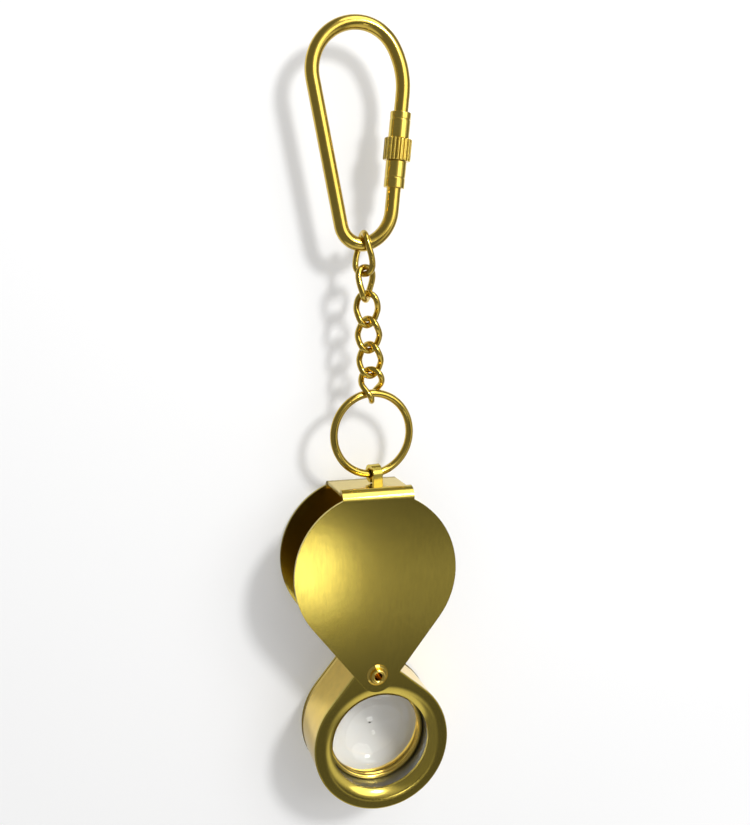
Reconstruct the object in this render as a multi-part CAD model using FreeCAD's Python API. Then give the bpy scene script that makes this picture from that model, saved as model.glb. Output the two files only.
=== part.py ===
"""Folding hand lens in a brass case, on a short curb chain with a screw-lock key ring.

Millimetres. +Z is up and the front faces -Y. The origin is the hang point: the inside of the
top of the key ring, on the ring's middle plane. Everything hangs below it.
"""
import FreeCAD, Part
import os
from math import asin, atan2, cos, degrees, pi, radians, sin, sqrt

V = FreeCAD.Vector

# ---- key ring: a bent rod closed by a screw lock on its right side ------------------------
ROD_D = 3.1
RING_HEIGHT = 45.9        # top to bottom of the rod's centre line
SHOULDER_R = 10.0         # large left shoulder
CORNER_R = 8.9            # tighter right shoulder
CORNER_SWEEP = 60.0
LOCK_TILT = 5.8           # the lock side leans in towards the bottom, degrees
LOCK_OFFSET = 11.2        # from the top of the centre line out to the lock's axis
TOE_X = 0.6
TOE_R = 4.7               # the narrow bottom
TOE_SWEEP = 25.0          # to the right of straight down, where the wider heel arc takes over

# ---- screw lock ---------------------------------------------------------------------------
LOCK_DROP = 3.7           # from the end of the shoulder bend to the ferrule
FERRULE_WALL = 0.7
FERRULE_LENGTH = 5.5
FERRULE_FIT = 0.01        # round the rod it is fixed to
FERRULE_LINE = 0.28       # where its turned line lies, as a share of its length
COLLAR_STEP = 0.75        # the collar stands out beyond the ferrule
COLLAR_LENGTH = 4.7
SLEEVE_LENGTH = 5.8
SLEEVE_LINE = 0.62
FLUTES = 22
FLUTE_R = 0.3
STUD_GRIP = 2.2           # stud held in the ferrule
STUD_REACH = 1.5          # stud standing out of it, inside the collar
THREAD_PITCH = 0.5
THREAD_LEAD = 0.6         # pitches from the ferrule's face to the first ring of thread
GROOVE = 0.18             # depth of the turned lines and the thread
END_GAP = 0.3             # between rod end and stud
RUNNING = 0.05            # radial clearance of what turns or slides
FACE_GAP = 0.06           # between the faces of turned pieces

# ---- chain --------------------------------------------------------------------------------
LINK_WIRE = 1.36
LINK_SLACK = 0.825        # room in a link beside its own wire and the jump ring's
LINK_PITCH_LENGTH = 7.11  # centre line of the wire, top to bottom
FIRST_LINK_LENGTH = 8.84
FIRST_LINK_SLACK = 0.42   # room in the wider first link beside the rod
LINK_GAP = 0.16           # between wires that hang in each other
LINK_POINTS = 20          # through which the twisted loop runs
LINK_SQUARENESS = 1.6     # how straight its sides are
SEAT_X = 0.9              # where the first link hangs on the rod
# the plane of each link's upper and lower end, in degrees from the key ring's plane
LINK_TURNS = [(-90, -50), (25, 60), (-40, 30), (-60, 25), (-60, 25), (-40, 76)]

# ---- jump ring ----------------------------------------------------------------------------
JUMP_WIRE = 1.75
JUMP_R = 9.12             # centre line
JUMP_X = 2.7
JUMP_TURN = 7.0           # degrees from the key ring's plane
JOINT_ANGLE = 125.0       # where its butt joint lies
JOINT_GAP = 0.15
JOINT_SLANT = 18.0        # the cut is not quite square to the wire

# ---- case: two pear-shaped covers of sheet ------------------------------------------------
SHEET = 0.8
CASE_DEPTH = 17.5
PLATE_R = 18.5
PLATE_RISE = 23.46        # pivot to the centre of the round part
TIP_R = 4.1
NECK_HALF = 8.1
NECK_SHIFT = 0.6          # the neck and bridge from the case centre, across
BRIDGE_SINK = 0.26        # the bridge's top lies below the top of the round part
BEND_R = 2.4              # outside
CASE_SHIFT = -1.2         # case centre from the jump ring, across
CHAIN_Y = -1.0            # the chain's plane from the middle of the case
TAB_ROOT = 7.2            # half width of the tab at the front bend
TONGUE_HALF = 1.15
FLARE_WIDTH = 2.4         # how far the tab's hollow sides pull in, in tongue widths
FLARE_PLACE = 0.35        # and where, as a share of the tab's length
BAIL_SHIFT = 1.6          # bail from the case centre, across
BAIL_R = 1.25             # inside
BAIL_TURN = 12.0          # the bail's loop looks a little to the side
BAIL_WRAP = 280.0
WIRE_LOW = 0.1            # the ring's wire lies this much below the bail's centre

# ---- pivot --------------------------------------------------------------------------------
RIVET_R = 1.5
RIVET_HOLE_R = 0.85
RIVET_HOLE_DEPTH = 5.4    # from the front cover's face
RIVET_RIM_R = 0.42        # rolled rim of the hollow end
RIVET_WASHER_R = 2.45
RIVET_WASHER_H = 0.45
REAR_HEAD_R = 2.2
BEARING_WALL = 0.8
FRICTION_R = 3.4
SLIP = 0.02               # between a friction washer and the faces beside it

# ---- drum ---------------------------------------------------------------------------------
SIDE_GAP = 0.35           # between drum and cover, taken up by the friction washers
WALL_ROOM = 2.58          # between the lens tube and the drum's wall
PIVOT_ROOM = 5.16         # between the lens tube and the pivot's centre
DRUM_TIP_R = 3.6
DRUM_SWING = 4.8          # degrees, the lens a little to the right of straight down
APERTURE_LIP = 0.2        # the opening is smaller than the lens
DISH_WIDTH = 2.8          # of the dished rim round the opening
DISH_DEPTH = 1.1
DRUM_EDGE = 0.3           # rounding of the plates' outer edge
WALL_SET_IN = 0.1         # of the wall behind the plates' edges
LENS_R = 11.6
LENS_BACK = 1.9           # the lens lies behind the middle of the drum
LENS_FIT = 0.1            # round the lens in its tube
CELL_WALL = 0.6
LENS_EDGE = 2.2
LENS_BULGE = 2.5
RING_LIP = 1.0            # how far the retaining rings reach in
RING_THICK = 1.1
RING_CHAMFER = 0.4
SNAP_WIRE = 1.1

# ---- worked out ---------------------------------------------------------------------------
ROD_R = ROD_D / 2
FERRULE_D = ROD_D + 2 * FERRULE_WALL
COLLAR_D = FERRULE_D + 2 * COLLAR_STEP
TOP = V(0, 0, ROD_R)
TILT = radians(LOCK_TILT)
LOCK_NORMAL = V(cos(TILT), 0, -sin(TILT))
LOCK_DOWN = V(-sin(TILT), 0, -cos(TILT))
TOE = V(TOE_X, 0, ROD_R - RING_HEIGHT + TOE_R)
ROD_FLOOR = ROD_R - RING_HEIGHT
WIRE_R = LINK_WIRE / 2
JUMP_WIRE_R = JUMP_WIRE / 2
LINK_HALF_WIDTH = JUMP_WIRE_R + WIRE_R + LINK_SLACK
FIRST_LINK_HALF = ROD_R + WIRE_R + FIRST_LINK_SLACK
CELL_R = LENS_R + LENS_FIT
APERTURE_R = LENS_R - APERTURE_LIP
DISH_R = APERTURE_R + DISH_WIDTH
DRUM_R = CELL_R + CELL_WALL + WALL_ROOM + SHEET + WALL_SET_IN
DRUM_DROP = CELL_R + CELL_WALL + PIVOT_ROOM
DRUM_DEPTH = CASE_DEPTH - 2 * (SHEET + SIDE_GAP)
BRIDGE_RISE = PLATE_RISE + PLATE_R - BRIDGE_SINK


def heading(angle):
    """Unit vector in the ring's plane, degrees clockwise from straight up."""
    return V(sin(radians(angle)), 0, cos(radians(angle)))


def level(angle, length=1.0):
    """Horizontal vector, degrees from +X towards +Y."""
    return V(length * cos(radians(angle)), length * sin(radians(angle)), 0)


def arc(first, middle, last):
    return Part.Arc(first, middle, last).toShape()


def line(first, last):
    return Part.LineSegment(first, last).toShape()


def turned(profile, axis_point, axis, angle=360):
    """Solid of revolution from a closed list of points."""
    return Part.Face(Part.makePolygon(profile + profile[:1])).revolve(axis_point, axis, angle)


def tube(start, axis, length, outer, inner):
    body = Part.makeCylinder(outer, length, start, axis)
    return body.cut(Part.makeCylinder(inner, length, start, axis))


def groove(start, axis, distance, radius):
    """Turned line round a cylinder: a thin ring to cut away."""
    middle = start + axis * distance
    return Part.makeTorus(radius + GROOVE / 2, GROOVE, middle, axis)


def save(name, shape):
    shape.exportStep(f"parts/{name}.step")


# ---- key ring -----------------------------------------------------------------------------
def corner_geometry():
    """Right shoulder: corner arc, then a flatter side arc that meets the lock's axis."""
    centre = TOP - V(0, 0, CORNER_R)
    share = sin(radians(CORNER_SWEEP) - TILT)
    offset = LOCK_OFFSET + LOCK_NORMAL.dot(TOP)
    side_r = (offset - LOCK_NORMAL.dot(centre) - CORNER_R * share) / (1 - share)
    side_centre = centre + heading(CORNER_SWEEP) * (CORNER_R - side_r)
    return centre, side_centre, side_r, offset


def heel_geometry(offset):
    """Bottom right: an arc wider than the toe, between the toe and the lock's axis."""
    share = sin(radians(TOE_SWEEP) + TILT)
    heel_r = (offset - LOCK_NORMAL.dot(TOE) - TOE_R * share) / (1 - share)
    centre = TOE - heading(180 - TOE_SWEEP) * (heel_r - TOE_R)
    return centre, heel_r


def leg_angle():
    """Heading of the left leg's outward normal: the tangent of shoulder and toe."""
    shoulder = TOP - V(0, 0, SHOULDER_R)
    across = TOE - shoulder
    lean = atan2(across.x, -across.z)
    return 270 - degrees(lean + asin((SHOULDER_R - TOE_R) / across.Length))


def lock_start():
    """Where the straight lock side begins, below the right shoulder."""
    _, side_centre, side_r, _ = corner_geometry()
    return side_centre + LOCK_NORMAL * side_r


def lock_end():
    _, _, _, offset = corner_geometry()
    centre, heel_r = heel_geometry(offset)
    return centre + LOCK_NORMAL * heel_r


def rod_end():
    """The two ends of the rod inside the lock, upper and lower."""
    ferrule = lock_start() + LOCK_DOWN * LOCK_DROP
    upper = ferrule + LOCK_DOWN * (FERRULE_LENGTH - STUD_GRIP - END_GAP)
    lower = ferrule + LOCK_DOWN * (FERRULE_LENGTH + COLLAR_LENGTH / 2)
    return upper, lower


def key_ring_rod():
    corner, side_centre, side_r, offset = corner_geometry()
    heel, heel_r = heel_geometry(offset)
    shoulder = TOP - V(0, 0, SHOULDER_R)
    outward = leg_angle()
    upper_end, lower_end = rod_end()
    square = 90 + LOCK_TILT
    join = corner + heading(CORNER_SWEEP) * CORNER_R
    turn = TOE + heading(180 - TOE_SWEEP) * TOE_R
    leg_foot = TOE + heading(outward) * TOE_R
    leg_head = shoulder + heading(outward) * SHOULDER_R
    side_middle = side_centre + heading((CORNER_SWEEP + square) / 2) * side_r
    heel_middle = heel + heading((square + 180 - TOE_SWEEP) / 2) * heel_r
    toe_middle = TOE + heading((180 - TOE_SWEEP + outward) / 2) * TOE_R
    shoulder_middle = shoulder + heading((outward + 360) / 2) * SHOULDER_R
    path = Part.Wire([
        line(lower_end, lock_end()),
        arc(lock_end(), heel_middle, turn),
        arc(turn, toe_middle, leg_foot),
        line(leg_foot, leg_head),
        arc(leg_head, shoulder_middle, TOP),
        arc(TOP, corner + heading(CORNER_SWEEP / 2) * CORNER_R, join),
        arc(join, side_middle, lock_start()),
        line(lock_start(), upper_end),
    ])
    section = Part.Wire([Part.Circle(lower_end, LOCK_DOWN, ROD_R).toShape()])
    return path.makePipeShell([section], True, False)


def upper_ferrule():
    start = lock_start() + LOCK_DOWN * LOCK_DROP
    body = tube(start, LOCK_DOWN, FERRULE_LENGTH, FERRULE_D / 2, ROD_R + FERRULE_FIT)
    edges = [edge for edge in body.Edges if abs(edge.Length - pi * FERRULE_D) < 0.01]
    body = body.makeFillet(GROOVE, edges)
    return body.cut(groove(start, LOCK_DOWN, FERRULE_LENGTH * FERRULE_LINE, FERRULE_D / 2))


def threaded_stud():
    mouth = lock_start() + LOCK_DOWN * (LOCK_DROP + FERRULE_LENGTH)
    start = mouth - LOCK_DOWN * STUD_GRIP
    body = Part.makeCylinder(ROD_R, STUD_GRIP + STUD_REACH, start, LOCK_DOWN)
    turns = int(STUD_REACH / THREAD_PITCH)
    for turn in range(turns):
        body = body.cut(groove(mouth, LOCK_DOWN, (turn + THREAD_LEAD) * THREAD_PITCH, ROD_R))
    return body


def knurled_collar():
    start = lock_start() + LOCK_DOWN * (LOCK_DROP + FERRULE_LENGTH + FACE_GAP)
    length = COLLAR_LENGTH - FACE_GAP
    body = Part.makeCylinder(COLLAR_D / 2, length, start, LOCK_DOWN)
    ends = [edge for edge in body.Edges if abs(edge.Length - pi * COLLAR_D) < 0.01]
    body = body.makeChamfer(GROOVE, ends)
    for flute in range(FLUTES):
        angle = 2 * pi * flute / FLUTES
        out = LOCK_NORMAL * cos(angle) + V(0, 1, 0) * sin(angle)
        body = body.cut(Part.makeCylinder(FLUTE_R, length, start + out * COLLAR_D / 2, LOCK_DOWN))
    return body.cut(Part.makeCylinder(ROD_R + RUNNING, length, start, LOCK_DOWN))


def lower_sleeve():
    drop = LOCK_DROP + FERRULE_LENGTH + COLLAR_LENGTH + FACE_GAP
    start = lock_start() + LOCK_DOWN * drop
    length = SLEEVE_LENGTH - FACE_GAP
    body = tube(start, LOCK_DOWN, length, FERRULE_D / 2, ROD_R + RUNNING)
    edges = [edge for edge in body.Edges if abs(edge.Length - pi * FERRULE_D) < 0.01]
    body = body.makeFillet(GROOVE, edges)
    return body.cut(groove(start, LOCK_DOWN, length * SLEEVE_LINE, FERRULE_D / 2))


# ---- chain --------------------------------------------------------------------------------
def seat_rise():
    """How far the inside of the toe has risen where the first link hangs."""
    inside = TOE_R - ROD_R
    away = SEAT_X - TOE_X + WIRE_R / 2
    return inside - sqrt(inside ** 2 - away ** 2)


def link_heights():
    """Upper and lower wire centre of every link, and then of the jump ring."""
    heights = []
    upper = ROD_FLOOR + ROD_R + seat_rise() + LINK_GAP + WIRE_R
    for number in range(len(LINK_TURNS)):
        lower = upper - (FIRST_LINK_LENGTH if number == 0 else LINK_PITCH_LENGTH)
        heights.append((upper, lower))
        upper = lower + LINK_WIRE + LINK_GAP
    upper += JUMP_WIRE_R - WIRE_R
    heights.append((upper, upper - 2 * JUMP_R))
    return heights


def chain_x(height):
    """The chain leans a little between the key ring and the jump ring."""
    top = ROD_FLOOR
    foot = link_heights()[-1][0]
    return SEAT_X + (JUMP_X - SEAT_X) * (top - height) / (top - foot)


def link_point(share, half_width, half_length, turn_top, turn_foot):
    """Point of a link's centre line: a long loop whose plane twists from end to end."""
    angle = 2 * pi * share
    across = half_width * sin(angle)
    straight = half_length - half_width
    height = half_width * cos(angle) + straight * min(1, max(-1, LINK_SQUARENESS * cos(angle)))
    middle = (turn_top + turn_foot) / 2
    swing = (turn_top - turn_foot) / 2
    plane = middle + swing * sin(pi / 2 * height / half_length)
    return level(plane, across) + V(0, 0, height)


def wire_along(curve, first, last):
    """Round wire along one stretch of a curve."""
    path = Part.Wire([curve.toShape(first, last)])
    tangent = curve.tangent(first)[0]
    section = Part.Wire([Part.Circle(curve.value(first), tangent, WIRE_R).toShape()])
    return path.makePipeShell([section], True, False)


def chain_link(number):
    upper, lower = link_heights()[number]
    turn_top, turn_foot = LINK_TURNS[number]
    half_length = (upper - lower) / 2
    half_width = FIRST_LINK_HALF if number == 0 else LINK_HALF_WIDTH
    middle = V(chain_x((upper + lower) / 2), 0, (upper + lower) / 2)
    points = []
    for step in range(LINK_POINTS):
        point = link_point(step / LINK_POINTS, half_width, half_length, turn_top, turn_foot)
        points.append(middle + point)
    curve = Part.BSplineCurve()
    curve.interpolate(points, PeriodicFlag=True)
    first = curve.FirstParameter
    last = curve.LastParameter
    halfway = (first + last) / 2
    return wire_along(curve, first, halfway).fuse(wire_along(curve, halfway, last)).Solids[0]


def jump_ring():
    upper, lower = link_heights()[-1]
    centre = V(JUMP_X, 0, (upper + lower) / 2)
    body = Part.makeTorus(JUMP_R, JUMP_WIRE_R, centre, level(JUMP_TURN + 90))
    side = 2 * JUMP_WIRE
    slot = Part.makeBox(side, side, JOINT_GAP, V(-JUMP_WIRE, -JUMP_WIRE, -JOINT_GAP / 2))
    slot.rotate(V(0, 0, 0), V(0, 1, 0), JOINT_SLANT)
    slot.translate(V(JUMP_R, 0, 0))
    slot.rotate(V(0, 0, 0), V(0, 1, 0), -JOINT_ANGLE)
    slot.rotate(V(0, 0, 0), V(0, 0, 1), JUMP_TURN)
    slot.translate(centre)
    return body.cut(slot)


# ---- places of the case -------------------------------------------------------------------
JUMP_FLOOR = link_heights()[-1][1]
BAIL_Z = JUMP_FLOOR + WIRE_LOW
CASE_X = JUMP_X + CASE_SHIFT
CASE_Y = -CHAIN_Y
FRONT = CASE_Y - CASE_DEPTH / 2
BACK = CASE_Y + CASE_DEPTH / 2
BRIDGE_TOP = BAIL_Z - BAIL_R - 2 * SHEET
PIVOT = V(CASE_X, CASE_Y, BRIDGE_TOP - BRIDGE_RISE)
DRUM_FRONT = CASE_Y - DRUM_DEPTH / 2
DRUM_BACK = CASE_Y + DRUM_DEPTH / 2


def pear(big_r, small_r, distance, y, up=1, grow=0.0):
    """Face in the plane of the given y: a large circle and a small one with their tangents."""
    large = big_r + grow
    small = small_r + grow
    lean = asin((large - small) / distance)
    far = V(PIVOT.x, y, PIVOT.z + up * distance)
    near = V(PIVOT.x, y, PIVOT.z)
    out = V(cos(lean), 0, -up * sin(lean))
    mirror = V(-out.x, 0, out.z)
    edges = [
        arc(far + out * large, far + V(0, 0, up * large), far + mirror * large),
        line(far + mirror * large, near + mirror * small),
        arc(near + mirror * small, near - V(0, 0, up * small), near + out * small),
        line(near + out * small, far + out * large),
    ]
    return Part.Face(Part.Wire(edges))


def folded_neck(face_y, top_z, side, reach):
    """The neck: upright, with a bend at its top into a level strip; side is +1 where it folds back."""
    x = CASE_X + NECK_SHIFT - NECK_HALF
    inner = BEND_R - SHEET
    inner_y = face_y + side * SHEET
    bend = V(x, face_y + side * BEND_R, top_z - BEND_R)
    slanted = V(0, -side, 1).normalize()
    end_y = bend.y + side * reach
    foot = PIVOT.z + PLATE_RISE
    edges = [
        line(V(x, face_y, foot), V(x, face_y, bend.z)),
        arc(V(x, face_y, bend.z), bend + slanted * BEND_R, V(x, bend.y, top_z)),
        line(V(x, bend.y, top_z), V(x, end_y, top_z)),
        line(V(x, end_y, top_z), V(x, end_y, top_z - SHEET)),
        line(V(x, end_y, top_z - SHEET), V(x, bend.y, top_z - SHEET)),
        arc(V(x, bend.y, top_z - SHEET), bend + slanted * inner, V(x, inner_y, bend.z)),
        line(V(x, inner_y, bend.z), V(x, inner_y, foot)),
        line(V(x, inner_y, foot), V(x, face_y, foot)),
    ]
    return Part.Face(Part.Wire(edges)).extrude(V(2 * NECK_HALF, 0, 0))


def cover_sheet(face_y, top_z, side, reach):
    """Pear-shaped plate whose round shoulders stay flat beside the bent neck."""
    plate = pear(PLATE_R, TIP_R, PLATE_RISE, face_y).extrude(V(0, side * SHEET, 0))
    corner = V(CASE_X + NECK_SHIFT - NECK_HALF, face_y - SHEET, top_z - BEND_R)
    plate = plate.cut(Part.makeBox(2 * NECK_HALF, 2 * SHEET, PLATE_R, corner))
    return plate.fuse(folded_neck(face_y, top_z, side, reach)).removeSplitter()


def tab_outline(top_z, bail_x, bail_y):
    """Plan of the tab on the bridge: two hollow flares from the front bend in to the tongue."""
    start_y = FRONT + BEND_R
    end_y = bail_y - BAIL_R
    z = top_z - SHEET
    flare_y = start_y + (end_y - start_y) * FLARE_PLACE
    roots = []
    tips = []
    edges = []
    for side in (-1, 1):
        root = V(CASE_X + NECK_SHIFT + side * TAB_ROOT, start_y, z)
        pull = V(bail_x + side * TONGUE_HALF * FLARE_WIDTH, flare_y, z)
        tip = V(bail_x + side * TONGUE_HALF, end_y, z)
        flare = Part.BezierCurve()
        flare.setPoles([root, pull, tip])
        edges.append(flare.toShape())
        roots.append(root)
        tips.append(tip)
    edges.append(line(*tips))
    edges.append(line(*roots))
    wire = Part.Wire(Part.sortEdges(edges)[0])
    return Part.Face(wire).extrude(V(0, 0, SHEET))


def bail_loop(bail_x, bail_y):
    """The tongue: up in front of the ring's wire, over it, round behind and under."""
    outer = BAIL_R + SHEET
    half = TONGUE_HALF
    section = [V(-half, -outer, 0), V(half, -outer, 0), V(half, -BAIL_R, 0), V(-half, -BAIL_R, 0)]
    curl = turned(section, V(0, 0, 0), V(-1, 0, 0), BAIL_WRAP)
    riser = Part.makeBox(2 * half, SHEET, outer + SHEET, V(-half, -outer, -outer - SHEET))
    body = curl.fuse(riser)
    body.rotate(V(0, 0, 0), V(0, 0, 1), BAIL_TURN)
    body.translate(V(bail_x, bail_y, BAIL_Z))
    return body


def rivet_hole(radius):
    return Part.makeCylinder(radius, CASE_DEPTH * 2, PIVOT - V(0, CASE_DEPTH, 0), V(0, 1, 0))


def front_cover():
    top = BRIDGE_TOP + SHEET
    body = cover_sheet(FRONT, top, 1, SHEET / 2)
    bail_x = CASE_X + BAIL_SHIFT
    body = body.fuse(tab_outline(top, bail_x, 0)).fuse(bail_loop(bail_x, 0))
    return body.removeSplitter().cut(rivet_hole(RIVET_R + SLIP))


def rear_cone(clearance):
    """The rivet's countersunk rear head, or the seat for it."""
    return Part.makeCone(RIVET_R + clearance, REAR_HEAD_R + clearance, SHEET,
                         V(PIVOT.x, BACK - SHEET, PIVOT.z), V(0, 1, 0))


def back_cover():
    reach = CASE_DEPTH - 2 * BEND_R
    body = cover_sheet(BACK, BRIDGE_TOP, -1, reach)
    return body.cut(rear_cone(SLIP))


# ---- pivot --------------------------------------------------------------------------------
def pivot_rivet():
    rim_y = FRONT - RIVET_WASHER_H - RIVET_RIM_R - SLIP
    start = V(PIVOT.x, rim_y, PIVOT.z)
    body = Part.makeCylinder(RIVET_R, BACK - SHEET - rim_y, start, V(0, 1, 0))
    rim = Part.makeTorus(RIVET_HOLE_R + RIVET_RIM_R, RIVET_RIM_R, start, V(0, 1, 0))
    body = body.fuse(rim).fuse(rear_cone(0))
    mouth = start - V(0, RIVET_R, 0)
    depth = FRONT + RIVET_HOLE_DEPTH - mouth.y
    hole = Part.makeCylinder(RIVET_HOLE_R, depth, mouth, V(0, 1, 0))
    return body.cut(hole).removeSplitter()


def rivet_washer():
    base = V(PIVOT.x, FRONT, PIVOT.z)
    top_r = RIVET_WASHER_R - RIVET_WASHER_H
    body = Part.makeCone(RIVET_WASHER_R, top_r, RIVET_WASHER_H, base, V(0, -1, 0))
    return body.cut(rivet_hole(RIVET_R + SLIP))


def friction_washer(inner_face, side):
    """Ring between a cover's inner face and the drum."""
    thick = SIDE_GAP - 2 * SLIP
    start = V(PIVOT.x, inner_face + side * SLIP, PIVOT.z)
    return tube(start, V(0, side, 0), thick, FRICTION_R, RIVET_R + RUNNING)


# ---- drum, built hanging straight down and then swung -------------------------------------
def drum_centre():
    """On the lens axis, in the middle of the drum's depth."""
    return V(PIVOT.x, CASE_Y, PIVOT.z - DRUM_DROP)


def lens_centre():
    return drum_centre() + V(0, LENS_BACK, 0)


def round_profile(centre, points, side):
    """Ring about the lens axis from (radius, distance from the centre) pairs."""
    section = [centre + V(radius, side * distance, 0) for radius, distance in points]
    return turned(section, centre, V(0, 1, 0))


def dished_rim(side):
    """The rim of the opening: sheet that rolls in from the plate like the mouth of a bell."""
    half = DRUM_DEPTH / 2
    roll_r = (DISH_WIDTH ** 2 + DISH_DEPTH ** 2) / (2 * DISH_DEPTH)
    sweep = asin(DISH_WIDTH / roll_r)
    arcs = []
    for sunk in (0, SHEET):
        points = []
        for share in (0, 0.5, 1):
            radius = DISH_R - roll_r * sin(sweep * share)
            points.append(V(radius, half - sunk - roll_r * (1 - cos(sweep * share)), 0))
        arcs.append(points)
    outer, inner = arcs
    edges = [
        arc(*outer),
        line(outer[2], inner[2]),
        arc(*inner),
        line(inner[0], outer[0]),
    ]
    rim = Part.Face(Part.Wire(edges)).revolve(V(0, 0, 0), V(0, 1, 0), 360)
    if side < 0:
        rim = rim.mirror(V(0, 0, 0), V(0, 1, 0))
    rim.translate(drum_centre())
    return rim


def swing(shape):
    shape.rotate(PIVOT, V(0, 1, 0), -DRUM_SWING)
    return shape


def drum_plate(side):
    """Pear-shaped plate with a dished rim round the lens opening."""
    half = DRUM_DEPTH / 2
    outline = pear(DRUM_R, DRUM_TIP_R, DRUM_DROP, CASE_Y + side * half, -1)
    plate = outline.extrude(V(0, -side * SHEET, 0))
    outer_y = CASE_Y + side * half
    rim = [edge for edge in plate.Edges if abs(edge.BoundBox.YMin - outer_y) < 0.001
           and edge.BoundBox.YLength < 0.001]
    plate = plate.makeFillet(DRUM_EDGE, rim)
    middle = drum_centre() - V(0, DRUM_DEPTH, 0)
    plate = plate.cut(Part.makeCylinder(DISH_R, DRUM_DEPTH * 2, middle, V(0, 1, 0)))
    plate = plate.fuse(dished_rim(side)).removeSplitter()
    return swing(plate.cut(rivet_hole(RIVET_R + RUNNING)))


def drum_wall():
    start = CASE_Y - DRUM_DEPTH / 2 + SHEET
    depth = V(0, DRUM_DEPTH - 2 * SHEET, 0)
    outer = pear(DRUM_R, DRUM_TIP_R, DRUM_DROP, start, -1, -WALL_SET_IN)
    inner = pear(DRUM_R, DRUM_TIP_R, DRUM_DROP, start, -1, -WALL_SET_IN - SHEET)
    return swing(outer.extrude(depth).cut(inner.extrude(depth)))


def pivot_bearing():
    length = DRUM_DEPTH - 2 * SHEET
    start = PIVOT - V(0, length / 2, 0)
    inner = RIVET_R + RUNNING
    return swing(tube(start, V(0, 1, 0), length, inner + BEARING_WALL, inner))


def lens_tube():
    half = DRUM_DEPTH / 2 - DISH_DEPTH - SHEET
    start = drum_centre() - V(0, half, 0)
    return swing(tube(start, V(0, 1, 0), 2 * half, CELL_R + CELL_WALL, CELL_R))


def lens_rise(radius):
    """Height of the lens's curved face above its edge plane."""
    ball = (LENS_R ** 2 + LENS_BULGE ** 2) / (2 * LENS_BULGE)
    return sqrt(ball ** 2 - radius ** 2) - (ball - LENS_BULGE)


def lens():
    centre = lens_centre()
    edge = LENS_EDGE / 2
    crown = edge + LENS_BULGE
    half_r = LENS_R / 2
    half_rise = edge + lens_rise(half_r)
    edges = [
        line(V(0, -crown, 0), V(0, crown, 0)),
        arc(V(0, crown, 0), V(half_r, half_rise, 0), V(LENS_R, edge, 0)),
        line(V(LENS_R, edge, 0), V(LENS_R, -edge, 0)),
        arc(V(LENS_R, -edge, 0), V(half_r, -half_rise, 0), V(0, -crown, 0)),
    ]
    body = Part.Face(Part.Wire(edges)).revolve(V(0, 0, 0), V(0, 1, 0), 360)
    body.translate(centre)
    return swing(body)


def ring_seat():
    """Distance from the mid plane at which a retaining ring meets the lens."""
    return LENS_EDGE / 2 + lens_rise(CELL_R - RING_LIP) + SLIP


def retaining_ring(side):
    near = ring_seat()
    far = near + RING_THICK
    outer = CELL_R - SLIP
    inner = CELL_R - RING_LIP
    section = [(inner, near), (outer, near), (outer, far),
               (inner + RING_CHAMFER, far), (inner, far - RING_CHAMFER)]
    return swing(round_profile(lens_centre(), section, side))


def snap_ring(side):
    radius = SNAP_WIRE / 2
    distance = ring_seat() + RING_THICK + SLIP + radius
    centre = lens_centre() + V(0, side * distance, 0)
    return swing(Part.makeTorus(CELL_R - SLIP - radius, radius, centre, V(0, 1, 0)))


def build():
    """Every piece by name, in the order in which it is met from the hang point down."""
    pieces = {
        "key_ring_rod": key_ring_rod(),
        "lock_ferrule": upper_ferrule(),
        "lock_stud": threaded_stud(),
        "lock_collar": knurled_collar(),
        "lock_sleeve": lower_sleeve(),
    }
    for number in range(len(LINK_TURNS)):
        pieces[f"chain_link_{number + 1}"] = chain_link(number)
    pieces.update({
        "jump_ring": jump_ring(),
        "front_cover": front_cover(),
        "back_cover": back_cover(),
        "pivot_rivet": pivot_rivet(),
        "rivet_washer": rivet_washer(),
        "front_friction_washer": friction_washer(FRONT + SHEET, 1),
        "rear_friction_washer": friction_washer(BACK - SHEET, -1),
        "drum_front_plate": drum_plate(-1),
        "drum_wall": drum_wall(),
        "drum_back_plate": drum_plate(1),
        "pivot_bearing": pivot_bearing(),
        "lens_tube": lens_tube(),
        "lens": lens(),
        "front_retaining_ring": retaining_ring(-1),
        "rear_retaining_ring": retaining_ring(1),
        "front_snap_ring": snap_ring(-1),
        "rear_snap_ring": snap_ring(1),
    })
    return pieces


os.makedirs("parts", exist_ok=True)
for piece_name, piece_shape in build().items():
    save(piece_name, piece_shape)
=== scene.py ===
"""Looks of the folding hand lens on its chain and key ring: brass in four finishes, steel, glass.

Metres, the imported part's own frame: +Z up, the front faces -Y.
"""
import bpy
import math
from mathutils import Matrix, Vector

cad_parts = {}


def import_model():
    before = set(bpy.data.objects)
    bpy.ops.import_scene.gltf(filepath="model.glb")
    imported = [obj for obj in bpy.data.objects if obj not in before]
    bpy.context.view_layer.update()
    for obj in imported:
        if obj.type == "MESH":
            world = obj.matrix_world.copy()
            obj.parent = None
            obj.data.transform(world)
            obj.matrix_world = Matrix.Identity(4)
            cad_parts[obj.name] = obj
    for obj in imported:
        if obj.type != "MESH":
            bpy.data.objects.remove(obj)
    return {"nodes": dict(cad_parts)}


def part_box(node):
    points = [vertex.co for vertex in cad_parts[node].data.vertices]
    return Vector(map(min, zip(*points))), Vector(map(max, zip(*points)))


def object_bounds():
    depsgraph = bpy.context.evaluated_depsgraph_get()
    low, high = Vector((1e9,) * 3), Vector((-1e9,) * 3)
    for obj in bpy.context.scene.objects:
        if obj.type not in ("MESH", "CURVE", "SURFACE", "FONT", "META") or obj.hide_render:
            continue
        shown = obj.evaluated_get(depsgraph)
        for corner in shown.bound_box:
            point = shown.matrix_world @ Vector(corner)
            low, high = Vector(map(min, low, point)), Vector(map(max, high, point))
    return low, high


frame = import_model()
nodes = frame["nodes"]
size_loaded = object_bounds()

MM = 0.001

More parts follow.
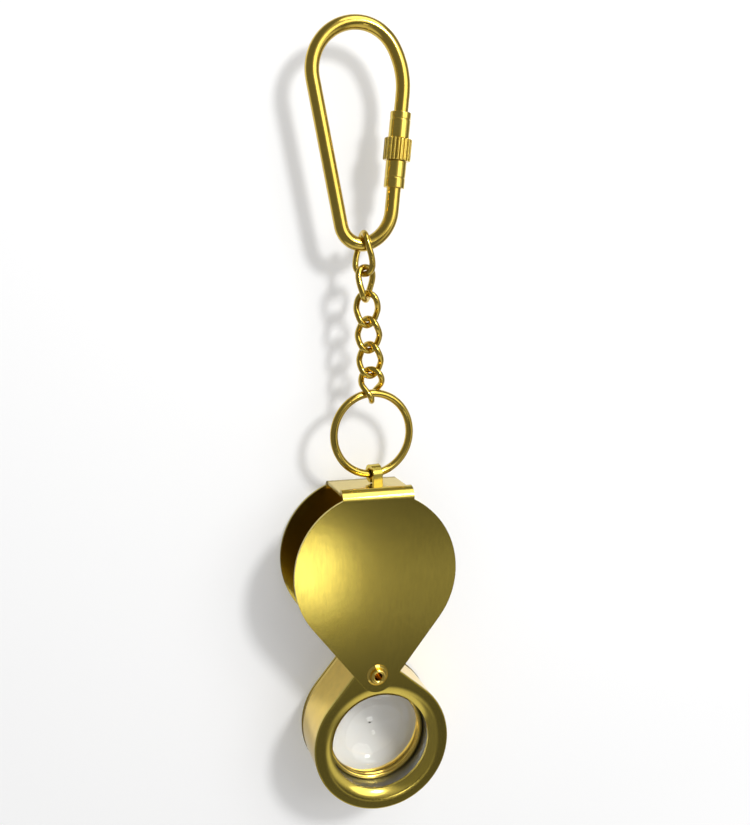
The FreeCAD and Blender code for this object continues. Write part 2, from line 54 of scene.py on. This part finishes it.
# ---- where things are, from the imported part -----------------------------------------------
front_cover_low, front_cover_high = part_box("front_cover")
_, back_cover_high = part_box("back_cover")
rivet_low, rivet_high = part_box("pivot_rivet")
PIVOT_X = (rivet_low.x + rivet_high.x) / 2
PIVOT_Z = (rivet_low.z + rivet_high.z) / 2
CASE_MIDDLE_Y = (front_cover_low.y + back_cover_high.y) / 2
object_low, object_high = size_loaded
OBJECT_MIDDLE = (object_low + object_high) / 2

# ---- camera ---------------------------------------------------------------------------------
CAMERA_FROM_PIVOT = Vector((-55.9, -205.8, 90.7)) * MM
CAMERA_YAW = 0.275       # radians, to the right of straight ahead
CAMERA_PITCH = -0.151    # looking down
CAMERA_ROLL = -0.004
FOCAL_MM = 42.06
SENSOR_MM = 36.0
CLIP_START = 0.01

# ---- light ----------------------------------------------------------------------------------
KEY_DIRECTION = Vector((0.44, -1.0, 0.58))       # from the object towards the lamp
KEY_DISTANCE = 0.65
KEY_SIZE = 0.11
KEY_POWER = 2.2
HALO_DIRECTION = Vector((0.54, -0.82, 0.34))
HALO_DISTANCE = 0.60
HALO_SIZE = 0.46
HALO_POWER = 0.9
PATCH_PLACE = Vector((0.0, 0.0, 0.6))            # on the front cover, as shares of its box
PATCH_DIRECTION = Vector((0.197, -0.946, -0.312))
PATCH_DISTANCE = 0.42
PATCH_SIZE = 0.042
PATCH_POWER = 0.017
TOP_DIRECTION = Vector((0.30, -0.55, 1.0))
TOP_DISTANCE = 0.6
TOP_SIZE = 0.36
TOP_POWER = 0.7
WORLD_FILL = 0.42        # what reaches matt surfaces from all round

# ---- the room that metal mirrors: levels, and the spans of the direction over which they set in
FRONT_LEVELS = ((-1.0, 0.95), (-0.75, 0.75), (-0.52, 0.09), (-0.385, 0.08), (-0.31, 0.54),
                (-0.262, 0.06), (-0.16, 0.07), (-0.02, 0.32), (0.25, 0.62), (1.0, 0.80))
SIDE_LEVEL = 0.20        # left and right of the front, a little above dark
LEFT_SPAN = (0.10, -0.15)
FAR_RIGHT_SPAN = (0.42, 0.70)
RIGHT_LEVEL = 0.80       # a bright field ahead on the right
RIGHT_SPAN = (0.45, 0.80)
RIGHT_AHEAD_SPAN = (-0.10, -0.45)
BACK_LEVEL = 0.75        # behind the object, brighter towards the top
BACK_SPAN = (-0.20, 0.40)
BACK_RISE_SPAN = (-0.70, 0.60)
LOW_LEVEL = 0.85         # from below
LOW_SPAN = (-0.70, -0.90)

# ---- the wall behind the object -------------------------------------------------------------
WALL_GAP = 0.4 * MM
WALL_HALF = 0.6
WALL_GLOW = 0.22
WALL_GLOW_IN_METAL = 1.0         # shares of the glow that metal and glass show
WALL_GLOW_IN_GLASS = 0.15
WALL_WHITE = 0.74
WALL_WHITE_IN_GLASS = 0.60
WALL_NEAR = 0.11                 # the wall keeps the shadow up to here, and is plain white beyond
WALL_FAR = 0.20
WALL_FAR_IN_METAL = 0.24         # how bright metal shows that plain white
MIRROR_SPAN = (16 * MM, 34 * MM)  # over this distance metal turns from the lit wall to the plain one
MIRROR_REACH = 4 * MM            # closer than this metal doesn't show the wall

# ---- surface grain --------------------------------------------------------------------------
EDGE_ROUND = 0.12 * MM           # edges catch the light as if rounded by this much
EDGE_SAMPLES = 4
CLOUD_SCALE = 110                # cloudy tarnish
CLOUD_DEPTH = 0.2 * MM
CLOUD_BUMP = 0.05
FINE_SCALE = 900
GRAIN_DEPTH = 0.003 * MM
GRAIN_SHADE = 0.80               # the grain's dark lines, as a share of the brass colour
BORE_RINGS = (200, 5200, 200)    # fine turned rings round the lens tube's axis
BORE_RING_DEPTH = 0.02 * MM
BORE_RING_BUMP = 0.2
BORE_DARK = (0.20, 0.22, 0.26)
BORE_LIGHT = (0.36, 0.38, 0.43)
BORE_MOTTLE_SCALE = 500
BORE_ROUGHNESS = (0.22, 0.42)
SMEAR_SCALE = 160
GLASS_IOR = 1.5
GLASS_TINT = (0.985, 0.99, 0.99, 1)
GLASS_SHADE = (0.93, 0.94, 0.93, 1)  # what light keeps on its way through to a surface behind


# ---- node helpers ---------------------------------------------------------------------------
class Shader:
    """A material's node tree, with short calls for the nodes used here."""

    def __init__(self, name):
        self.material = bpy.data.materials.new(name)
        self.material.use_nodes = True
        self.tree = self.material.node_tree
        self.principled = self.tree.nodes["Principled BSDF"]
        self.place = self.tree.nodes.new("ShaderNodeTexCoord").outputs["Object"]

    def link(self, source, target):
        self.tree.links.new(source, target)

    def set(self, **values):
        for name, value in values.items():
            self.principled.inputs[name.replace("_", " ")].default_value = value

    def plug(self, source, name):
        self.link(source, self.principled.inputs[name])

    def stretched(self, scale):
        """The object's coordinates scaled per axis, for a grain with a direction."""
        mapping = self.tree.nodes.new("ShaderNodeMapping")
        mapping.inputs["Scale"].default_value = scale
        self.link(self.place, mapping.inputs["Vector"])
        return mapping.outputs["Vector"]

    def noise(self, scale, detail=3.0, roughness=0.55, vector=None, distortion=0.0):
        node = self.tree.nodes.new("ShaderNodeTexNoise")
        node.inputs["Scale"].default_value = scale
        node.inputs["Detail"].default_value = detail
        node.inputs["Roughness"].default_value = roughness
        node.inputs["Distortion"].default_value = distortion
        self.link(vector or self.place, node.inputs["Vector"])
        return node.outputs["Fac"]

    def ramp(self, source, stops):
        """Colour ramp from (position, grey or colour) pairs."""
        node = self.tree.nodes.new("ShaderNodeValToRGB")
        ramp = node.color_ramp
        while len(ramp.elements) < len(stops):
            ramp.elements.new(0.5)
        for element, (position, value) in zip(ramp.elements, stops):
            element.position = position
            element.color = (value, value, value, 1) if isinstance(value, float) else (*value, 1)
        self.link(source, node.inputs["Fac"])
        return node.outputs["Color"]

    def span(self, source, low, high):
        """Source 0..1 spread over low..high."""
        node = self.tree.nodes.new("ShaderNodeMapRange")
        node.inputs["To Min"].default_value = low
        node.inputs["To Max"].default_value = high
        self.link(source, node.inputs["Value"])
        return node.outputs["Result"]

    def mix(self, factor, first, second):
        """Colour mix; first and second are sockets or colours."""
        node = self.tree.nodes.new("ShaderNodeMix")
        node.data_type = "RGBA"
        self.link(factor, node.inputs["Factor"])
        for value, socket in ((first, node.inputs[6]), (second, node.inputs[7])):
            if isinstance(value, tuple):
                socket.default_value = (*value, 1)
            else:
                self.link(value, socket)
        return node.outputs[2]

    def bump(self, height, strength, distance, normal=None):
        node = self.tree.nodes.new("ShaderNodeBump")
        node.inputs["Strength"].default_value = strength
        node.inputs["Distance"].default_value = distance
        self.link(height, node.inputs["Height"])
        if normal:
            self.link(normal, node.inputs["Normal"])
        return node.outputs["Normal"]


# ---- materials ------------------------------------------------------------------------------
def brass(name, colour, tarnish, roughness, grain, grain_bump, stain=0.35):
    """Brass with a directed grain, cloudy tarnish and fine scratches."""
    s = Shader(name)
    s.set(Metallic=1.0)
    cloud = s.noise(CLOUD_SCALE, 4.0, 0.6, distortion=0.6)
    fine = s.noise(FINE_SCALE, 2.0, 0.5)
    brushed = s.noise(1.0, 3.0, 0.6, vector=s.stretched(grain))
    patches = s.ramp(cloud, [(0.40, 0.0), (0.72, stain)])
    tinted = s.mix(patches, colour, tarnish)
    darker = tuple(channel * GRAIN_SHADE for channel in colour)
    grained = s.mix(s.ramp(brushed, [(0.35, 0.0), (0.75, 0.55)]), tinted, darker)
    s.plug(grained, "Base Color")
    low, high = roughness
    scuffs = s.mix(s.ramp(fine, [(0.3, 0.0), (0.7, 1.0)]), brushed, cloud)
    s.plug(s.span(scuffs, low, high), "Roughness")
    edge = s.tree.nodes.new("ShaderNodeBevel")
    edge.samples = EDGE_SAMPLES
    edge.inputs["Radius"].default_value = EDGE_ROUND
    brushed_normal = s.bump(brushed, grain_bump, GRAIN_DEPTH, edge.outputs["Normal"])
    s.plug(s.bump(cloud, CLOUD_BUMP, CLOUD_DEPTH, brushed_normal), "Normal")
    return s.material


def steel(name):
    """The lens tube's dark, smooth inside."""
    s = Shader(name)
    s.set(Metallic=1.0)
    rings = s.noise(1.0, 2.0, 0.5, vector=s.stretched(BORE_RINGS))
    s.plug(s.mix(rings, BORE_DARK, BORE_LIGHT), "Base Color")
    s.plug(s.span(s.noise(BORE_MOTTLE_SCALE), *BORE_ROUGHNESS), "Roughness")
    s.plug(s.bump(rings, BORE_RING_BUMP, BORE_RING_DEPTH), "Normal")
    return s.material


def glass(name):
    """Clear lens glass with a faint smear."""
    s = Shader(name)
    s.set(Transmission_Weight=1.0, IOR=GLASS_IOR)
    s.principled.inputs["Base Color"].default_value = GLASS_TINT
    smear = s.noise(SMEAR_SCALE, 3.0, 0.6, distortion=1.0)
    s.plug(s.ramp(smear, [(0.45, 0.0), (0.80, 0.035)]), "Roughness")
    paths = s.tree.nodes.new("ShaderNodeLightPath")
    clear = s.tree.nodes.new("ShaderNodeBsdfTransparent")
    clear.inputs["Color"].default_value = GLASS_SHADE
    lets_light_by = s.tree.nodes.new("ShaderNodeMixShader")
    s.link(paths.outputs["Is Shadow Ray"], lets_light_by.inputs[0])
    s.link(s.principled.outputs[0], lets_light_by.inputs[1])
    s.link(clear.outputs[0], lets_light_by.inputs[2])
    s.link(lets_light_by.outputs[0], s.tree.nodes["Material Output"].inputs["Surface"])
    return s.material


SATIN = brass("satin_brass", colour=(0.70, 0.545, 0.105), tarnish=(0.60, 0.45, 0.07),
              roughness=(0.14, 0.185), grain=(4200, 4200, 500), grain_bump=0.5)
DRAWN = brass("drawn_brass", colour=(0.68, 0.49, 0.09), tarnish=(0.48, 0.31, 0.045),
              roughness=(0.11, 0.17), grain=(900, 900, 900), grain_bump=0.4)
POLISHED = brass("polished_brass", colour=(0.95, 0.69, 0.15), tarnish=(0.80, 0.54, 0.10),
                 roughness=(0.09, 0.16), grain=(500, 500, 500), grain_bump=0.3)
TURNED = brass("turned_brass", colour=(0.76, 0.56, 0.11), tarnish=(0.54, 0.36, 0.05),
               roughness=(0.13, 0.20), grain=(300, 300, 5000), grain_bump=0.6)
STEEL = steel("bore_steel")
GLASS = glass("lens_glass")

finish = {
    "key_ring_rod": DRAWN, "jump_ring": DRAWN,
    "lock_ferrule": TURNED, "lock_stud": TURNED, "lock_collar": TURNED, "lock_sleeve": TURNED,
    "front_cover": SATIN, "back_cover": SATIN,
    "pivot_rivet": POLISHED, "rivet_washer": POLISHED,
    "front_friction_washer": SATIN, "rear_friction_washer": SATIN,
    "drum_front_plate": SATIN, "drum_wall": POLISHED, "drum_back_plate": SATIN, "pivot_bearing": SATIN,
    "lens_tube": STEEL, "lens": GLASS,
    "front_retaining_ring": POLISHED, "rear_retaining_ring": POLISHED,
    "front_snap_ring": POLISHED, "rear_snap_ring": POLISHED,
}
for name, piece in nodes.items():
    piece.data.materials.clear()
    piece.data.materials.append(finish.get(name, DRAWN))


# ---- node helpers for the wall and the world ------------------------------------------------
def math_node(tree, operation, first, second):
    """Maths on two sockets or numbers."""
    node = tree.nodes.new("ShaderNodeMath")
    node.operation = operation
    for value, socket in ((first, node.inputs[0]), (second, node.inputs[1])):
        if isinstance(value, (int, float)):
            socket.default_value = value
        else:
            tree.links.new(value, socket)
    return node.outputs[0]


def smooth_step(tree, source, start, end, level=1.0):
    """From 0 at start to level at end, smoothly."""
    node = tree.nodes.new("ShaderNodeMapRange")
    node.interpolation_type = "SMOOTHSTEP"
    node.inputs["From Min"].default_value = start
    node.inputs["From Max"].default_value = end
    node.inputs["To Max"].default_value = level
    tree.links.new(source, node.inputs["Value"])
    return node.outputs[0]


# ---- the wall behind the object, which catches its shadow ----------------------------------
def wall():
    y = back_cover_high.y + WALL_GAP
    mesh = bpy.data.meshes.new("wall")
    corners = [(-WALL_HALF, 0, -WALL_HALF), (WALL_HALF, 0, -WALL_HALF),
               (WALL_HALF, 0, WALL_HALF), (-WALL_HALF, 0, WALL_HALF)]
    mesh.from_pydata(corners, [], [(0, 1, 2, 3)])
    plane = bpy.data.objects.new("wall", mesh)
    plane.location = (OBJECT_MIDDLE.x, y, OBJECT_MIDDLE.z)
    bpy.context.scene.collection.objects.link(plane)
    plane.visible_diffuse = False
    plane.visible_shadow = False
    mesh.materials.append(wall_material())


def wall_material():
    """White that keeps the object's shadow near it; nothing when seen from behind."""
    s = Shader("white_wall")
    tree = s.tree
    tree.nodes.remove(s.principled)
    output = tree.nodes["Material Output"]
    paths = tree.nodes.new("ShaderNodeLightPath")
    diffuse = tree.nodes.new("ShaderNodeBsdfDiffuse")
    in_glass = paths.outputs["Is Transmission Ray"]
    s.link(s.span(in_glass, WALL_WHITE, WALL_WHITE_IN_GLASS), diffuse.inputs["Color"])
    glow = tree.nodes.new("ShaderNodeEmission")
    through = math_node(tree, "MULTIPLY", in_glass, WALL_GLOW_IN_GLASS)
    not_glass = math_node(tree, "SUBTRACT", 1.0, in_glass)
    glossy = math_node(tree, "MULTIPLY", paths.outputs["Is Glossy Ray"], not_glass)
    mirrored = math_node(tree, "MULTIPLY", glossy, WALL_GLOW_IN_METAL)
    indirect = math_node(tree, "MAXIMUM", through, mirrored)
    seen = math_node(tree, "MAXIMUM", indirect, paths.outputs["Is Camera Ray"])
    s.link(math_node(tree, "MULTIPLY", seen, WALL_GLOW), glow.inputs["Strength"])
    lit = tree.nodes.new("ShaderNodeAddShader")
    s.link(diffuse.outputs[0], lit.inputs[0])
    s.link(glow.outputs[0], lit.inputs[1])
    plain = tree.nodes.new("ShaderNodeEmission")
    s.link(s.span(glossy, 1.0, WALL_FAR_IN_METAL), plain.inputs["Strength"])
    length = tree.nodes.new("ShaderNodeVectorMath")
    length.operation = "LENGTH"
    s.link(s.place, length.inputs[0])
    fade = smooth_step(tree, length.outputs["Value"], WALL_NEAR, WALL_FAR)
    white = tree.nodes.new("ShaderNodeMixShader")
    reach = smooth_step(tree, paths.outputs["Ray Length"], *MIRROR_SPAN)
    beyond = math_node(tree, "MULTIPLY", glossy, reach)
    s.link(math_node(tree, "MAXIMUM", fade, beyond), white.inputs[0])
    s.link(lit.outputs[0], white.inputs[1])
    s.link(plain.outputs[0], white.inputs[2])
    close = math_node(tree, "LESS_THAN", paths.outputs["Ray Length"], MIRROR_REACH)
    close_mirror = math_node(tree, "MULTIPLY", paths.outputs["Is Glossy Ray"], close)
    behind = tree.nodes.new("ShaderNodeNewGeometry").outputs["Backfacing"]
    hidden = math_node(tree, "MAXIMUM", behind, close_mirror)
    clear = tree.nodes.new("ShaderNodeBsdfTransparent")
    final = tree.nodes.new("ShaderNodeMixShader")
    s.link(hidden, final.inputs[0])
    s.link(white.outputs[0], final.inputs[1])
    s.link(clear.outputs[0], final.inputs[2])
    s.link(final.outputs[0], output.inputs["Surface"])
    return s.material


# ---- the world: white behind the object, dimmer on the camera's side ------------------------
def world():
    world = bpy.data.worlds.new("studio")
    world.use_nodes = True
    bpy.context.scene.world = world
    tree = world.node_tree
    background = tree.nodes["Background"]
    paths = tree.nodes.new("ShaderNodeLightPath")
    way = tree.nodes.new("ShaderNodeTexCoord").outputs["Generated"]
    split = tree.nodes.new("ShaderNodeSeparateXYZ")
    tree.links.new(way, split.inputs[0])
    height = tree.nodes.new("ShaderNodeMapRange")
    height.inputs["From Min"].default_value = -1.0
    tree.links.new(split.outputs["Z"], height.inputs["Value"])
    front = tree.nodes.new("ShaderNodeValToRGB")
    stops = front.color_ramp.elements
    while len(stops) < len(FRONT_LEVELS):
        stops.new(0.5)
    for stop, (rise, level) in zip(stops, FRONT_LEVELS):
        stop.position = (rise + 1) / 2
        stop.color = (level, level, level, 1)
    tree.links.new(height.outputs[0], front.inputs["Fac"])
    x, y, z = (split.outputs[axis] for axis in "XYZ")
    right = math_node(tree, "MULTIPLY", smooth_step(tree, x, *RIGHT_SPAN, RIGHT_LEVEL),
                      smooth_step(tree, y, *RIGHT_AHEAD_SPAN))
    aside = math_node(tree, "MAXIMUM", smooth_step(tree, x, *LEFT_SPAN),
                      smooth_step(tree, x, *FAR_RIGHT_SPAN))
    back = math_node(tree, "MULTIPLY", smooth_step(tree, y, *BACK_SPAN),
                     smooth_step(tree, z, *BACK_RISE_SPAN, BACK_LEVEL))
    low = smooth_step(tree, z, *LOW_SPAN, LOW_LEVEL)
    middle = math_node(tree, "MULTIPLY", front.outputs["Color"], math_node(tree, "SUBTRACT", 1.0, aside))
    around = math_node(tree, "ADD", middle, math_node(tree, "MULTIPLY", aside, SIDE_LEVEL))
    for level in (right, back, low):
        around = math_node(tree, "MAXIMUM", around, level)
    seen = math_node(tree, "MAXIMUM", paths.outputs["Is Camera Ray"],
                     paths.outputs["Is Transmission Ray"])
    mirrored = math_node(tree, "MULTIPLY", paths.outputs["Is Glossy Ray"], around)
    direct = math_node(tree, "MAXIMUM", seen, mirrored)
    shown = math_node(tree, "MAXIMUM", seen, paths.outputs["Is Glossy Ray"])
    fill = math_node(tree, "MULTIPLY", math_node(tree, "SUBTRACT", 1.0, shown), WORLD_FILL)
    tree.links.new(math_node(tree, "ADD", direct, fill), background.inputs["Strength"])
    background.inputs["Color"].default_value = (1, 1, 1, 1)


def lamp(name, direction, distance, size, power, target=OBJECT_MIDDLE):
    data = bpy.data.lights.new(name, "AREA")
    data.shape = "DISK"
    data.size = size
    data.energy = power
    thing = bpy.data.objects.new(name, data)
    thing.location = target + direction.normalized() * distance
    thing.rotation_mode = "QUATERNION"
    thing.rotation_quaternion = direction.to_track_quat("Z", "Y")
    bpy.context.scene.collection.objects.link(thing)


def camera():
    pivot = Vector((PIVOT_X, CASE_MIDDLE_Y, PIVOT_Z))
    yaw, pitch, roll = CAMERA_YAW, CAMERA_PITCH, CAMERA_ROLL
    ahead = Vector((math.sin(yaw) * math.cos(pitch), math.cos(yaw) * math.cos(pitch), math.sin(pitch)))
    level_right = Vector((math.cos(yaw), -math.sin(yaw), 0))
    level_up = level_right.cross(ahead)
    right = math.cos(roll) * level_right + math.sin(roll) * level_up
    up = -math.sin(roll) * level_right + math.cos(roll) * level_up
    data = bpy.data.cameras.new("camera")
    data.lens = FOCAL_MM
    data.sensor_width = SENSOR_MM
    data.clip_start = CLIP_START
    thing = bpy.data.objects.new("camera", data)
    turn = Matrix((right, up, -ahead)).transposed().to_4x4()
    thing.matrix_world = Matrix.Translation(pivot + CAMERA_FROM_PIVOT) @ turn
    bpy.context.scene.collection.objects.link(thing)
    bpy.context.scene.camera = thing


camera()
wall()
world()
lamp("key", KEY_DIRECTION, KEY_DISTANCE, KEY_SIZE, KEY_POWER)
lamp("halo", HALO_DIRECTION, HALO_DISTANCE, HALO_SIZE, HALO_POWER)
cover_span = front_cover_high - front_cover_low
patch_target = front_cover_low + Vector(share * span for share, span in zip(PATCH_PLACE, cover_span))
lamp("patch", PATCH_DIRECTION, PATCH_DISTANCE, PATCH_SIZE, PATCH_POWER, patch_target)
lamp("top", TOP_DIRECTION, TOP_DISTANCE, TOP_SIZE, TOP_POWER)
bpy.context.scene.view_settings.view_transform = "Standard"
